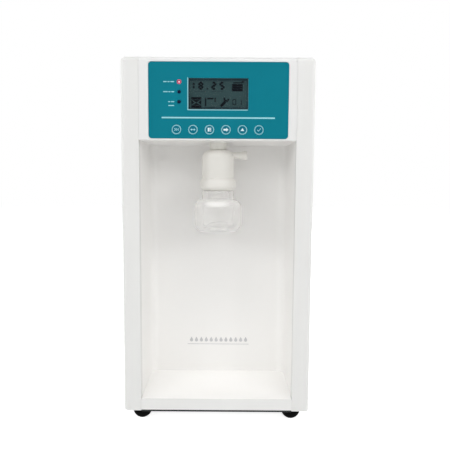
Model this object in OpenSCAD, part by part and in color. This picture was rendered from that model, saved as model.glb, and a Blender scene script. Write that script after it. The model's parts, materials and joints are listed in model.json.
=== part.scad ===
// Bench-top water purifier with a recessed dispensing bay.
// x runs to the right of someone facing the front, y runs from the front to the rear, z runs up.
// Every module draws in the cabinet's own frame: y = 0 is the front face and z = 0 the sill's lower edge.
// placed() then moves it so that the origin is the middle of the whole box, at the feet's lowest face.

/* [Cabinet] */
// Width over both side panels
cabinet_w = 283; // [270:1:340]
// Depth from the front face to the rear panel's outer face
cabinet_d = 430; // [425:5:520]
// Height from the sill's lower edge to the top
cabinet_h = 528; // [520:2:640]
// Thickness of the steel sheet
sheet = 1.5; // [1.2:0.1:1.8]
// Outer radius of the bent edges
corner_r = 7; // [5:0.5:7]
// Width of a side panel's front return
pillar_w = 26.5; // [23:0.5:30]
// Depth of the fold behind a front return
pillar_fold = 12; // [8:1:13]
// How far the side panels reach below the sill
panel_drop = 1; // [0:0.5:2]
// Gap at a seam between two covers
seam = 0.5; // [0.4:0.1:0.8]
// Thickness of the base pan
pan_t = 3.5; // [2:0.1:4]
// Width of a square frame post
post_w = 16; // [12:1:16]

/* [Front] */
// Height of the header above the dispensing bay
header_h = 119; // [117:1:130]
// Wall of the header moulding
header_t = 3; // [2.6:0.1:4]
// Depth of the dispensing bay behind the front face
bay_depth = 113; // [105:1:116]
// Radius of the bay's rear corners
bay_r = 14; // [6:1:25]
// Wall of the bay liner
liner_t = 2.5; // [2:0.1:2.8]
// Height of the sill under the bay
sill_h = 17.8; // [12:0.2:26]
// Width of the control overlay
overlay_w = 203.4; // [190:0.2:208]
// Height of the control overlay
overlay_h = 109.6; // [106:0.2:112]
// Thickness of the control overlay
overlay_t = 1.2; // [1:0.1:1.4]
// Corner radius of the control overlay
overlay_r = 5; // [2:0.5:8]
// Distance that the overlay sits right of the middle
overlay_x = 1; // [-2:0.5:3]
// Width of the display window
window_w = 86.7; // [70:0.1:90]
// Height of the display window
window_h = 44.3; // [36:0.1:46]
// Radius of a key cap
key_r = 6.7; // [5:0.1:8]
// Distance between two keys
key_pitch = 24; // [19:0.5:26]
// Travel of a key
key_travel = 0.5; // [0.3:0.1:0.6]
// Radius of a status lamp
lamp_r = 2.3; // [1.5:0.1:2.5]
// Distance between two status lamps
lamp_pitch = 14.2; // [10:0.1:16]

/* [Final filter] */
// Radius of the capsule body
capsule_r = 25.2; // [20:0.1:28]
// Length of the capsule body
capsule_h = 63; // [55:1:70]
// Distance of the capsule's axis behind the front face
capsule_y = 55; // [45:1:65]
// Radius of the spigot that plugs into the outlet fitting
spigot_r = 6; // [5:0.1:7]
// Radius of the filling bell
bell_r = 37; // [33:0.5:42]
// Height of the filling bell
bell_h = 64; // [55:1:75]
// Wall of the filling bell
bell_t = 1.8; // [1.2:0.1:2.5]
// Radius of the bell's drawn-in rim
bell_rim_r = 14.5; // [9:0.5:17]
// Radius of the vent cap's wide end
vent_r = 6.6; // [5.6:0.1:7.4]

/* [Feet] */
// Height of the sill's lower edge above the bench
foot_h = 18; // [15:0.5:25]
// Radius of the foot's dome
foot_r = 15; // [12:0.2:16]
// Distance of a foot's axis from the middle of the cabinet
foot_x = 115.5; // [100:0.5:118]
// Distance of a foot's axis behind the front face, and before the rear face
foot_y = 18; // [17:1:60]

/* [Rear] */
// How far the release collets stand behind the rear panel
port_reach = 20; // [18:1:25]
// Outer radius of the water tube that a port takes
tube_r = 3.175; // [2:0.005:4]
// Height of the water ports' axes
port_z = 60; // [50:1:70]
// Travel of a release collet
collet_travel = 1.5; // [1:0.1:1.8]

/* [Cartridges] */
// Radius of a cartridge
cart_r = 38; // [30:1:40]
// Length of a cartridge below its head
cart_h = 307; // [250:1:307]
// Distance between the axes of two cartridges
cart_pitch = 90; // [86:1:92]
// Radius of the membrane housing
ro_r = 34; // [28:1:36]

/* [Hidden] */
$fn = 64;

run_fit = 0.05;          // radial clearance of a shaft that turns or slides in a bore
seat = 0.3;              // gap between a piece and what it seats on
half_w = cabinet_w / 2;
front_y = -(cabinet_d + port_reach) / 2;
side_in = half_w - sheet;
top_in = cabinet_h - sheet;
rear_in = cabinet_d - sheet;
bend_x = half_w - corner_r;
bend_z = cabinet_h - corner_r;
bend_y = cabinet_d - corner_r;
bay_half = half_w - pillar_w;
header_half = bay_half - seam;
header_z = cabinet_h - header_h;
bay_front = pillar_fold + seam;

// Frame posts
post_wall = 1.5;
post_front_y = pillar_fold + 2;
post_front_x = bay_half + liner_t + seat;

// Hinge of the service door: a row of knuckles on the axis of the rear right bend
knuckle_r = corner_r - sheet - 1;
hinge_pin_r = 1.5;
leaf_t = 1.5;
rear_screw_l = corner_r + knuckle_r - leaf_t - 0.5;
leaf_w = 22;
knuckles = 9;
knuckle_gap = 0.4;
hinge_low = 12;
hinge_high = cabinet_h - 20;
knuckle_h = (hinge_high - hinge_low) / knuckles;
post_rear_y = bend_y - knuckle_r - post_w;
post_rear_x = bend_x - 9 - post_w;
rear_edge = bend_x - corner_r + seam * 3;
rear_flange = 12;

// Header and what it carries
recess_t = overlay_t + 0.4;
overlay_gap = 0.25;
overlay_z = header_z + 56.7;
window_x = 0.7;
window_z = header_z + 66.2;
window_lip = 1;
key_z = header_z + 15;
key_hole_r = key_r + 0.3;
key_cap_t = 1.2;
key_pocket = key_cap_t + 0.2 + key_travel + 0.3;
key_stem_r = 1.6;
key_collar_r = 3;
keys = 6;
lamp_x = -56;
lamp_z = header_z + 54.6;
lamp_hole_r = lamp_r + 0.2;
board_y = header_t + 9;
board_t = 1.6;
board_half = 95;
board_boss = [88, 48];
switch_w = 6;
switch_h = 3.5;

// Final filter, hung below the soffit
capsule_top = header_z - 11;
capsule_low = capsule_top - capsule_h;
capsule_dome = 12;
collar_r = 13;
collar_low = capsule_top + seat;
spigot_h = 28;
capsule_wall = 2.4;
vent_z = capsule_top - 8;
vent_port_r = 5.3;
vent_stem_r = 2;
vent_port_end = 35.5;
vent_end = 45.4;
bell_top = capsule_low - seat;
bell_low = bell_top - bell_h;
boss_r = 9;

// Water side
cart_x = 68;
cart_y = 165;
cart_z = 33;
cart_top = cart_z + cart_h;
head_h = 22;
rack_t = 2;
socket_r = 6.5;
socket_h = 14;
socket_bore = tube_r + 0.1;
insert = 8;
cart_port = 18;
tube_z = cart_top + head_h + socket_h;
tube_wall = 1.1;
tee_arm = socket_h + 3;
feed_x = 24;
drain_x = -20;
port_r = 9.5;
barrel_r = 7;
barrel_in = cabinet_d - 18;
collet_r = 5;
ro_z = cabinet_h - 68;
ro_front = 132;
ro_rear = cabinet_d - 22;
ro_cap = 18;
ro_cap_r = ro_r + 4;
plate_t = 1.5;
plate_front = 125;
plate_rear = cabinet_d - 40;
plate_top = cabinet_h - 23;
valve_y = cabinet_d - 42;
valve_z = 230;
valve_w = 24;
rise_y = cabinet_d - 31;
cross_y = cabinet_d - 22;
tee_z = tube_z + 9;
uv_x = -34;
uv_y = 150;
uv_r = 26;
uv_low = 110;
uv_top = header_z - 9;
pump_x = -76;
pump_z = 52;
pump_rear = 255;
pump_port = [-90, -62];
pump_port_z = 70;
cell_z = header_z + liner_t + 12.5;
cell_y = 100;
cell_len = 30;
dispense_z = header_z + 29;
dispense_w = 30;

// Electric side
inlet_x = -55;
inlet_z = 140;
switch_x = -55;
switch_z = 190;
rocker_y = cabinet_d - 3.5;
rocker_r = 8.8;
rocker_w = 12.6;
rocker_tilt = 9;
psu = [97, 129, 30];
psu_x = -130;
psu_y = cabinet_d - 165;
main_y = 215;
main_w = 100;
main_z = header_z - 79;
main_h = 140;
spacer_h = 6.9;
main_back = -plate_t - spacer_h - board_t;

// ---------------------------------------------------------------- shared shapes

module placed() {
  translate([0, front_y, foot_h]) children();
}

module block(x, y, z) {
  translate([x[0], y[0], z[0]]) cube([x[1] - x[0], y[1] - y[0], z[1] - z[0]]);
}

module rod_x(x0, x1, y, z, r) {
  translate([x0, y, z]) rotate([0, 90, 0]) cylinder(h = x1 - x0, r = r);
}

module rod_y(y0, y1, x, z, r) {
  translate([x, y0, z]) rotate([-90, 0, 0]) cylinder(h = y1 - y0, r = r);
}

module rod_z(z0, z1, x, y, r) {
  translate([x, y, z0]) cylinder(h = z1 - z0, r = r);
}

// A flat plate with round corners, facing the front, centred on x and z
module plate_y(y0, y1, x, z, w, h, r) {
  block([x - w / 2 + r, x + w / 2 - r], [y0, y1], [z - h / 2, z + h / 2]);
  block([x - w / 2, x + w / 2], [y0, y1], [z - h / 2 + r, z + h / 2 - r]);
  for (sx = [-1, 1], sz = [-1, 1]) rod_y(y0, y1, x + sx * (w / 2 - r), z + sz * (h / 2 - r), r);
}

// A quarter of a round sheet bend, from +x to +y, standing on z = 0
module quarter_bend(length) {
  rotate_extrude(angle = 90) translate([corner_r - sheet, 0]) square([sheet, length]);
}

// An eighth of a hollow ball: the corner where three bends meet
module ball_corner() {
  rotate_extrude(angle = 90) intersection() {
    difference() {
      circle(r = corner_r);
      circle(r = corner_r - sheet);
    }
    square(corner_r);
  }
}

// The bent top edge that runs along x, at the front or at the rear
module top_bend_front(x0, x1) {
  translate([x1, corner_r, bend_z]) rotate([90, 0, -90]) quarter_bend(x1 - x0);
}

module top_bend_rear(x0, x1) {
  translate([x0, bend_y, bend_z]) rotate([90, 0, 90]) quarter_bend(x1 - x0);
}

// The points of an arc in a turned profile
function arc(x, z, r, a0, a1, steps) =
  [for (i = [0:steps]) [x + r * cos(a0 + (a1 - a0) * i / steps), z + r * sin(a0 + (a1 - a0) * i / steps)]];

// Moves a shape drawn along +z so that it starts at p and points along d
module along(p, d) {
  u = abs(d[2]) < 0.9 ? cross(d, [0, 0, 1]) / norm(cross(d, [0, 0, 1])) : [1, 0, 0];
  w = cross(d, u);
  multmatrix([[u[0], w[0], d[0], p[0]], [u[1], w[1], d[1], p[1]], [u[2], w[2], d[2], p[2]]]) children();
}

module ring(r, bore) {
  difference() {
    circle(r = r, $fn = 32);
    if (bore > 0) circle(r = bore, $fn = 32);
  }
}

// A tube or wire through the points, with round bends
module pipe(points, r, bore, bend) {
  last = len(points) - 1;
  dirs = [for (i = [0:last - 1]) (points[i + 1] - points[i]) / norm(points[i + 1] - points[i])];
  for (i = [0:last - 1]) {
    cut_start = i == 0 ? 0 : bend;
    cut_end = i == last - 1 ? 0 : bend;
    along(points[i] + dirs[i] * cut_start, dirs[i])
      linear_extrude(norm(points[i + 1] - points[i]) - cut_start - cut_end) ring(r, bore);
  }
  for (i = [1:last - 1]) {
    u = dirs[i - 1];
    v = dirs[i];
    n = cross(u, v);
    c = points[i] - u * bend + v * bend;
    multmatrix([[-v[0], u[0], n[0], c[0]], [-v[1], u[1], n[1], c[1]], [-v[2], u[2], n[2], c[2]]])
      rotate_extrude(angle = 90) translate([bend, 0]) ring(r, bore);
  }
}

module tube(points, bend = 10) {
  pipe(points, tube_r, tube_r - tube_wall, bend);
}

module wire(points, r = 2, bend = 6) {
  pipe(points, r, 0, bend);
}

// A socket that takes a tube's end: drawn along +z, its mouth at z = socket_h
module socket() {
  difference() {
    cylinder(h = socket_h, r = socket_r);
    translate([0, 0, socket_h - insert - 1]) cylinder(h = insert + 2, r = socket_bore);
    translate([0, 0, -1]) cylinder(h = socket_h, r = 1.5);
  }
}

// ---------------------------------------------------------------- cabinet

module base_pan() placed() color("dimgray") difference() {
  union() {
    block([-(side_in - seam), side_in - seam], [post_front_y, cabinet_d - 15], [-pan_t, 0]);
    block([-header_half, header_half], [2, post_front_y], [-pan_t, 0]);
    block([-(bend_x - 8), bend_x - 8], [cabinet_d - 15, rear_in - seam], [-pan_t, 0]);
  }
  for (x = [-foot_x, foot_x], y = [foot_y, cabinet_d - foot_y]) rod_z(-pan_t - 1, 1, x, y, 2.2);
}

module post(x, y) {
  difference() {
    block([x, x + post_w], [y, y + post_w], [0, top_in - seat]);
    block([x + post_wall, x + post_w - post_wall], [y + post_wall, y + post_w - post_wall],
      [-1, cabinet_h]);
  }
}

module frame_posts() placed() color("silver") difference() {
  for (side = [0, 1]) mirror([side, 0, 0]) {
    post(post_front_x, post_front_y);
    post(post_rear_x, post_rear_y);
  }
  // the front posts stand over the feet's screws
  for (x = [-foot_x, foot_x], y = [foot_y, cabinet_d - foot_y]) rod_z(-1, 4, x, y, 4.5);
}

// The bent skin of one side, drawn on the right: front return, side, top edge and rear bend
module side_skin() {
  low = -panel_drop;
  tall = bend_z - low;
  block([side_in, half_w], [corner_r, bend_y], [low, bend_z]);
  block([bay_half, bend_x], [0, sheet], [low, bend_z]);
  block([bay_half, bay_half + sheet], [sheet, pillar_fold], [low, bend_z]);
  translate([bend_x, corner_r, low]) rotate([0, 0, -90]) quarter_bend(tall);
  translate([bend_x, bend_y, low]) quarter_bend(tall);
  translate([bend_x, bend_y, bend_z]) rotate([90, 0, 0]) quarter_bend(bend_y - corner_r);
  translate([bend_x, corner_r, bend_z]) rotate([0, 0, -90]) ball_corner();
  translate([bend_x, bend_y, bend_z]) ball_corner();
  top_bend_front(bay_half, bend_x);
}

panel_screw_z = [60, 264, 468];

module side_panel_left() placed() color("white") difference() {
  union() {
    mirror([1, 0, 0]) side_skin();
    block([-bend_x, -rear_edge - seam], [rear_in, cabinet_d], [-panel_drop, bend_z]);
    top_bend_rear(-bend_x, -rear_edge - seam);
    for (z = panel_screw_z) {
      rod_x(-side_in, -(post_front_x + post_w + seat), post_front_y + post_w / 2, z, 5);
      rod_x(-side_in, -(post_rear_x + post_w + seat), post_rear_y + post_w / 2, z, 5);
    }
  }
  for (z = panel_screw_z, y = [post_front_y + post_w / 2, post_rear_y + post_w / 2]) {
    rod_x(-half_w - 1, -half_w + 30, y, z, 1.7);
    translate([-half_w, y, z]) rotate([0, 90, 0]) cylinder(h = 1.6, r1 = 3.4, r2 = 1.7);
  }
}

door_grip_w = 60;

module service_door() placed() color("white") difference() {
  side_skin();
  // finger notch in the lower edge
  block([side_in - 1, half_w + 1], [60, 60 + door_grip_w], [-panel_drop - 1, 7]);
}

function knuckle_z(i) = hinge_low + i * knuckle_h;

module knuckle_row(first) {
  for (i = [first:2:knuckles - 1])
    rod_z(knuckle_z(i) + knuckle_gap / 2, knuckle_z(i + 1) - knuckle_gap / 2, bend_x, bend_y, knuckle_r);
}

module knuckle_clearance(first) {
  for (i = [first:2:knuckles - 1])
    rod_z(knuckle_z(i) - knuckle_gap / 2, knuckle_z(i + 1) + knuckle_gap / 2, bend_x, bend_y,
      knuckle_r + knuckle_gap);
}

module hinge_bore() {
  rod_z(hinge_low - 1, hinge_high + 1, bend_x, bend_y, hinge_pin_r + run_fit);
}

module hinge_leaf_frame() placed() color("silver") difference() {
  union() {
    difference() {
      block([bend_x - leaf_w, bend_x], [bend_y - knuckle_r, bend_y - knuckle_r + leaf_t],
        [hinge_low, hinge_high]);
      knuckle_clearance(1);
    }
    knuckle_row(0);
  }
  hinge_bore();
}

module hinge_leaf_door() placed() color("silver") difference() {
  union() {
    difference() {
      block([side_in - leaf_t, side_in], [bend_y - leaf_w, bend_y], [hinge_low, hinge_high]);
      knuckle_clearance(0);
    }
    knuckle_row(1);
  }
  hinge_bore();
}

module hinge_pin() placed() color("gray") {
  rod_z(hinge_low - 3, hinge_high + 0.5, bend_x, bend_y, hinge_pin_r);
  rod_z(hinge_high + 0.5, hinge_high + 2.5, bend_x, bend_y, knuckle_r - 0.5);
}

module door_catch() placed() color("black") {
  for (z = [200, 320])
    block([post_front_x + post_w, side_in - seat], [post_front_y + 3, post_front_y + 15], [z, z + 40]);
}

module top_cover() placed() color("white") difference() {
  union() {
    block([-(bend_x - seam), bend_x - seam], [corner_r + seam, bend_y], [top_in, cabinet_h]);
    top_bend_rear(-rear_edge, rear_edge);
    block([-rear_edge, rear_edge], [rear_in, cabinet_d], [bend_z - rear_flange, bend_z]);
  }
  // room for the door's round rear corner to turn
  rod_z(top_in - 1, cabinet_h + 1, bend_x, bend_y, corner_r + seat);
}

panel_top = bend_z - rear_flange - seam;
rear_screw_z = [30, panel_top - 20];

module rear_panel() placed() color("white") difference() {
  union() {
    block([-rear_edge, rear_edge], [rear_in, cabinet_d], [seat, panel_top]);
    for (z = rear_screw_z) {
      rod_y(bend_y - knuckle_r + leaf_t + seat, rear_in, post_rear_x + post_w / 2, z, 5);
      rod_y(bend_y - knuckle_r + seat, rear_in, -(post_rear_x + post_w / 2), z, 5);
    }
  }
  for (z = rear_screw_z, side = [-1, 1]) rod_y(bend_y - 8, cabinet_d + 1, side * (post_rear_x + post_w / 2), z, 1.7);
  for (x = [drain_x, feed_x, cart_x]) rod_y(rear_in - 1, cabinet_d + 1, x, port_z, barrel_r + 0.2);
  plate_y(rear_in - 1, cabinet_d + 1, inlet_x, inlet_z, 28, 21, 2);
  plate_y(rear_in - 1, cabinet_d + 1, switch_x, switch_z, 17.6, 21.4, 1);
  // louvres for the warm air
  for (row = [0:6], column = [-1, 1])
    plate_y(rear_in - 1, cabinet_d + 1, column * 50, 330 + row * 14, 70, 5, 2.4);
}

module pan_head_screw(shank) {
  cylinder(h = 1.8, r = 2.9);
  translate([0, 0, -shank]) cylinder(h = shank + 0.1, r = 1.5);
}

module case_screws() placed() color("silver") {
  for (z = rear_screw_z, side = [-1, 1])
    translate([side * (post_rear_x + post_w / 2), cabinet_d, z]) rotate([-90, 0, 0]) pan_head_screw(rear_screw_l);
  for (z = panel_screw_z, y = [post_front_y + post_w / 2, post_rear_y + post_w / 2])
    translate([-half_w, y, z]) rotate([0, 90, 0]) union() {
      cylinder(h = 1.4, r1 = 3.2, r2 = 1.6);
      translate([0, 0, 1.3]) cylinder(h = 2.4, r = 1.5);
    }
}

// A dome with a small flat where it stands on the bench, below a straight rim
module feet() placed() color("black") {
  flat = 5.4;
  ball_z = sqrt(foot_r * foot_r - flat * flat) - foot_h;
  rim = min(ball_z, -pan_t - 1);
  for (x = [-foot_x, foot_x], y = [foot_y, cabinet_d - foot_y]) difference() {
    union() {
      intersection() {
        translate([x, y, ball_z]) sphere(r = foot_r);
        rod_z(-foot_h, rim, x, y, foot_r + 1);
      }
      rod_z(rim, -pan_t, x, y, sqrt(foot_r * foot_r - (rim - ball_z) * (rim - ball_z)));
    }
    rod_z(-pan_t - 9, 0, x, y, 2.1);
  }
}

module foot_screws() placed() color("silver") {
  for (x = [-foot_x, foot_x], y = [foot_y, cabinet_d - foot_y]) {
    rod_z(0, 2.4, x, y, 4);
    rod_z(-pan_t - 8, 0, x, y, 2);
  }
}

module bulkhead() placed() color("gainsboro") difference() {
  union() {
    block([-plate_t, 0], [plate_front, plate_rear], [0, plate_top]);
    block([-12, 0], [plate_front, 250], [0, plate_t]);
  }
  rod_x(-20, 20, cart_y + 2 * cart_pitch - cart_port, tube_z + insert, 5);
  rod_x(-20, 20, ro_front + 9, ro_z, 5);
}

// ---------------------------------------------------------------- front

module header_housing() placed() color("white") difference() {
  union() {
    block([-header_half, header_half], [0, header_t], [header_z, bend_z]);
    top_bend_front(-header_half, header_half);
    for (side = [-1, 1])
      block([side * header_half - (side > 0 ? 2.5 : 0), side * header_half + (side > 0 ? 0 : 2.5)],
        [header_t, pillar_fold], [header_z + liner_t + seat, bend_z]);
    for (sx = [-1, 1], sz = [-1, 1])
      rod_y(header_t, board_y, sx * board_boss[0], overlay_z + sz * board_boss[1], 3.5);
  }
  plate_y(-1, recess_t, overlay_x, overlay_z, overlay_w, overlay_h, overlay_r);
  plate_y(-1, header_t + 1, window_x, window_z, window_w - 2 * window_lip, window_h - 2 * window_lip, 1);
  for (i = [0:2]) rod_y(-1, header_t + 1, lamp_x, lamp_z + i * lamp_pitch, lamp_hole_r);
  for (i = [0:keys - 1]) {
    rod_y(-1, key_pocket, key_x(i), key_z, key_hole_r);
    rod_y(-1, header_t + 1, key_x(i), key_z, key_stem_r + 0.3);
  }
  for (sx = [-1, 1], sz = [-1, 1])
    rod_y(header_t + 2, board_y + 1, sx * board_boss[0], overlay_z + sz * board_boss[1], 1.25);
}

function key_x(i) = (i - (keys - 1) / 2) * key_pitch;

// The bay's inner space, or the space that its walls fill when it is grown by their thickness
module bay_space(grow, y0, z) {
  half = bay_half + grow;
  block([-half, half], [y0, bay_depth - bay_r], z);
  block([-(bay_half - bay_r), bay_half - bay_r], [y0, bay_depth + grow], z);
  for (side = [-1, 1]) rod_z(z[0], z[1], side * (bay_half - bay_r), bay_depth - bay_r, bay_r + grow);
}

module alcove_liner() placed() color("whitesmoke") difference() {
  union() {
    bay_space(liner_t, bay_front, [sill_h - liner_t, header_z + liner_t]);
    block([-header_half, header_half], [0, bay_front], [sill_h - liner_t, sill_h]);
    block([-header_half, header_half], [0, liner_t], [seat, sill_h]);
    block([-header_half, header_half], [header_t + seat, bay_front], [header_z, header_z + liner_t]);
    for (x = [-80, 0, 80]) block([x - 1.5, x + 1.5], [15, bay_depth - 15], [0, sill_h - 1]);
  }
  bay_space(0, bay_front - 1, [sill_h, header_z]);
  rod_z(header_z - 1, header_z + liner_t + 1, 0, capsule_y, collar_r + seat);
}

module control_overlay() placed() color("teal") difference() {
  plate_y(recess_t - overlay_t, recess_t, overlay_x, overlay_z, overlay_w - 2 * overlay_gap,
    overlay_h - 2 * overlay_gap, overlay_r - overlay_gap);
  plate_y(-1, recess_t + 1, window_x, window_z, window_w, window_h, 1);
  for (i = [0:2]) rod_y(-1, recess_t + 1, lamp_x, lamp_z + i * lamp_pitch, lamp_hole_r);
  for (i = [0:keys - 1]) rod_y(-1, recess_t + 1, key_x(i), key_z, key_hole_r);
}

module display_window() placed() color("lightcyan") {
  plate_y(recess_t - 1, recess_t, window_x, window_z, window_w - 0.4, window_h - 0.4, 0.8);
}

module display_module() placed() color("darkslategray") {
  gap = 2 * window_lip + 0.6;
  plate_y(header_t - 1, header_t + seat, window_x, window_z, window_w - gap, window_h - gap, 0.7);
  plate_y(header_t + seat, header_t + 6.3, window_x, window_z, window_w + 11, window_h + 11, 1);
  for (sx = [-1, 1], sz = [-1, 1])
    rod_y(header_t + 6, board_y, window_x + sx * window_w / 2, window_z + sz * window_h / 2, 2);
}

module lamp(i) {
  z = lamp_z + i * lamp_pitch;
  translate([lamp_x, lamp_r + 0.3, z]) sphere(r = lamp_r);
  rod_y(lamp_r + 0.3, board_y, lamp_x, z, lamp_r);
  rod_y(header_t + seat, header_t + 1.5, lamp_x, z, lamp_r + 0.6);
}

module status_lamp_lit() placed() color("crimson") lamp(2);

module status_lamps_dark() placed() color("midnightblue") {
  lamp(0);
  lamp(1);
}

// A key cap in front of the header, its stem through the wall and a collar that keeps it in
module key_cap(i) placed() color("darkcyan") {
  rod_y(0.2, 0.2 + key_cap_t, key_x(i), key_z, key_r);
  rod_y(0.2, board_y - switch_h + key_travel, key_x(i), key_z, key_stem_r);
  rod_y(header_t + seat, header_t + seat + 1, key_x(i), key_z, key_collar_r);
}

module key_circulate() key_cap(0);
module key_shift() key_cap(1);
module key_menu() key_cap(2);
module key_dispense() key_cap(3);
module key_up() key_cap(4);
module key_confirm() key_cap(5);

module key_switches() placed() color("black") {
  for (i = [0:keys - 1]) difference() {
    block([key_x(i) - switch_w / 2, key_x(i) + switch_w / 2], [board_y - switch_h, board_y],
      [key_z - switch_w / 2, key_z + switch_w / 2]);
    rod_y(board_y - switch_h - 1, board_y - switch_h + 2 * key_travel + 0.5, key_x(i), key_z,
      key_stem_r + 0.1);
  }
}

ribbon_x = [main_back - 16, main_back - 0.4];
ribbon_z = cabinet_h - 28;

module display_board() placed() color("darkgreen") {
  back = board_y + board_t;
  difference() {
    block([-board_half, board_half], [board_y, back], [header_z + 4, header_z + 110]);
    for (sx = [-1, 1], sz = [-1, 1])
      rod_y(board_y - 1, back + 1, sx * board_boss[0], overlay_z + sz * board_boss[1], 1.6);
  }
  block(ribbon_x, [back, back + 6], [ribbon_z - 20, ribbon_z - 10]);
  block([30, 50], [back, back + 2.2], [window_z - 10, window_z + 10]);
  block([-70, -50], [back, back + 2.2], [window_z - 20, window_z - 6]);
  rod_y(back, back + 5, 70, window_z + 15, 6);
}

module ribbon_cable() placed() color("lightgray") {
  thick = 1.2;
  front = board_y + board_t + 1;
  rear = main_y + 26;
  block(ribbon_x, [front, front + thick], [ribbon_z - 10, ribbon_z]);
  block(ribbon_x, [front, rear], [ribbon_z - thick, ribbon_z]);
  block(ribbon_x, [rear - thick, rear], [main_z + main_h - 4, ribbon_z]);
}

// ---------------------------------------------------------------- final filter

capsule_out_r = capsule_r + 3.1;

module capsule_body() placed() color("white") translate([0, capsule_y, 0]) difference() {
  union() {
    rotate_extrude() polygon(concat(
      [[0, capsule_low], [capsule_r - 4, capsule_low]],
      arc(capsule_out_r - 8, capsule_low + 8, 8, -65, 0, 7),
      arc(capsule_out_r - 10, capsule_low + 12, 10, 0, 46.4, 6),
      arc(capsule_r - capsule_dome, capsule_top - capsule_dome, capsule_dome, 0, 90, 9),
      [[0, capsule_top]]));
    cylinder(h = capsule_top + spigot_h, r = spigot_r);
    translate([0, 0, bell_top - 6]) cylinder(h = 10, r = boss_r);
    translate([0, 0, capsule_low - 38]) cylinder(h = 39, r = 4.5);
    for (i = [0:2]) translate([0, 0, capsule_low - 36 + i * 7]) cylinder(h = 5, r1 = 4.6, r2 = 5.6);
    rod_x(capsule_r - 8, vent_port_end, 0, vent_z, vent_port_r);
  }
  translate([0, 0, -1]) cylinder(h = capsule_low, r = 30);
  translate([0, 0, capsule_low + 4]) cylinder(h = capsule_h - 13, r = capsule_r - capsule_wall);
  translate([0, 0, capsule_top - 9]) cylinder(h = 4.5, r1 = capsule_r - capsule_wall, r2 = capsule_r - 6.9);
  translate([0, 0, capsule_low - 50]) cylinder(h = capsule_h + 100, r = 2.5);
  rod_x(capsule_r - 9, vent_port_end + 1, 0, vent_z, vent_stem_r + run_fit);
}

pleats = 30;

module capsule_element() placed() color("ivory") translate([0, capsule_y, capsule_low + 4 + seat]) {
  out_r = capsule_r - capsule_wall - 0.6;
  in_r = out_r * 0.55;
  tall = capsule_h - 13 - 2 * seat;
  difference() {
    union() {
      translate([0, 0, 3]) linear_extrude(tall - 6) polygon(
        [for (i = [0:2 * pleats - 1]) let (r = i % 2 == 0 ? out_r - 0.5 : in_r + 1.5, a = i * 180 / pleats)
          [r * cos(a), r * sin(a)]]);
      cylinder(h = 3, r = out_r);
      translate([0, 0, tall - 3]) cylinder(h = 3, r = out_r);
    }
    translate([0, 0, -1]) cylinder(h = tall + 2, r = in_r - 2);
  }
}

// The clear bell: a neck under the capsule, a round shoulder, a straight wall and a drawn-in rim
module capsule_bell() placed() color("lightblue") translate([0, capsule_y, 0]) {
  neck_r = capsule_r - 0.3;
  neck_low = bell_top - 14;
  shoulder = bell_r - neck_r;
  rim_z = bell_low + bell_rim_r * sin(68);
  rotate_extrude() polygon(concat(
    [[boss_r + 0.1, bell_top]],
    arc(neck_r - 2, bell_top - 2, 2, 90, 0, 3),
    [[neck_r, neck_low + 0.6]],
    arc(neck_r, neck_low - shoulder, shoulder, 87, 0, 9),
    arc(bell_r - bell_rim_r, rim_z, bell_rim_r, 0, -68, 7),
    arc(bell_r - bell_rim_r, rim_z, bell_rim_r - bell_t, -68, 0, 7),
    arc(neck_r, neck_low - shoulder, shoulder - bell_t, 0, 84, 9),
    [[neck_r - bell_t, neck_low - bell_t + 0.6], [neck_r - bell_t, bell_top - bell_t],
      [boss_r + 0.1, bell_top - bell_t]]));
}

module vent_cap() placed() color("whitesmoke") translate([0, capsule_y, vent_z]) difference() {
  union() {
    rod_x(vent_port_end - 10, vent_port_end + 1, 0, 0, vent_stem_r);
    translate([vent_port_end + seat, 0, 0]) rotate([0, 90, 0])
      cylinder(h = 5, r1 = vent_port_r, r2 = vent_r);
    rod_x(vent_port_end + seat + 5, vent_end, 0, 0, vent_r);
    block([vent_port_end + 3, vent_end], [-vent_r - 0.8, vent_r + 0.8], [-1, 1]);
  }
  // grip slot across the end
  block([vent_end - 1.2, vent_end + 1], [-0.6, 0.6], [-vent_r - 1, vent_r + 1]);
}

module outlet_fitting() placed() color("white") translate([0, capsule_y, 0]) difference() {
  union() {
    translate([0, 0, collar_low]) cylinder(h = dispense_z - collar_low, r = collar_r);
    translate([0, 0, header_z + liner_t]) cylinder(h = 4, r = 20);
  }
  translate([0, 0, collar_low - 1]) cylinder(h = spigot_h + 4, r = spigot_r + run_fit);
  translate([0, 0, collar_low]) cylinder(h = 60, r = 2.5);
}

module dispense_valve() placed() color("ivory") {
  half = dispense_w / 2;
  difference() {
    union() {
      block([-half, half], [capsule_y - half, capsule_y + half], [dispense_z, dispense_z + 24]);
      rod_z(dispense_z + 24, dispense_z + 26, 0, capsule_y, 9);
      along([-half, capsule_y, dispense_z + 10], [-1, 0, 0]) socket();
    }
    rod_z(dispense_z - 1, dispense_z + 12, 0, capsule_y, 2.5);
    rod_x(-half - 1, 1, capsule_y, dispense_z + 10, 1.5);
  }
  rod_z(dispense_z + 26, dispense_z + 54, 0, capsule_y, 14);
  block([-8, 8], [capsule_y + 13, capsule_y + 24], [dispense_z + 30, dispense_z + 46]);
}

// ---------------------------------------------------------------- water side

module water_ports() placed() color("whitesmoke") {
  for (x = [drain_x, feed_x, cart_x]) difference() {
    union() {
      rod_y(cabinet_d, cabinet_d + port_reach - 4, x, port_z, port_r);
      rod_y(barrel_in, cabinet_d + 1, x, port_z, barrel_r);
      translate([x, rear_in - 6, port_z]) rotate([-90, 0, 0]) cylinder(h = 6, r = 11, $fn = 6);
    }
    rod_y(barrel_in - 1, barrel_in + 12, x, port_z, socket_bore);
    rod_y(barrel_in, cabinet_d + 5, x, port_z, 1.8);
    rod_y(cabinet_d - 2, cabinet_d + port_reach, x, port_z, tube_r + 0.025);
    rod_y(cabinet_d + port_reach - 12, cabinet_d + port_reach, x, port_z, collet_r + run_fit);
  }
}

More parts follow.
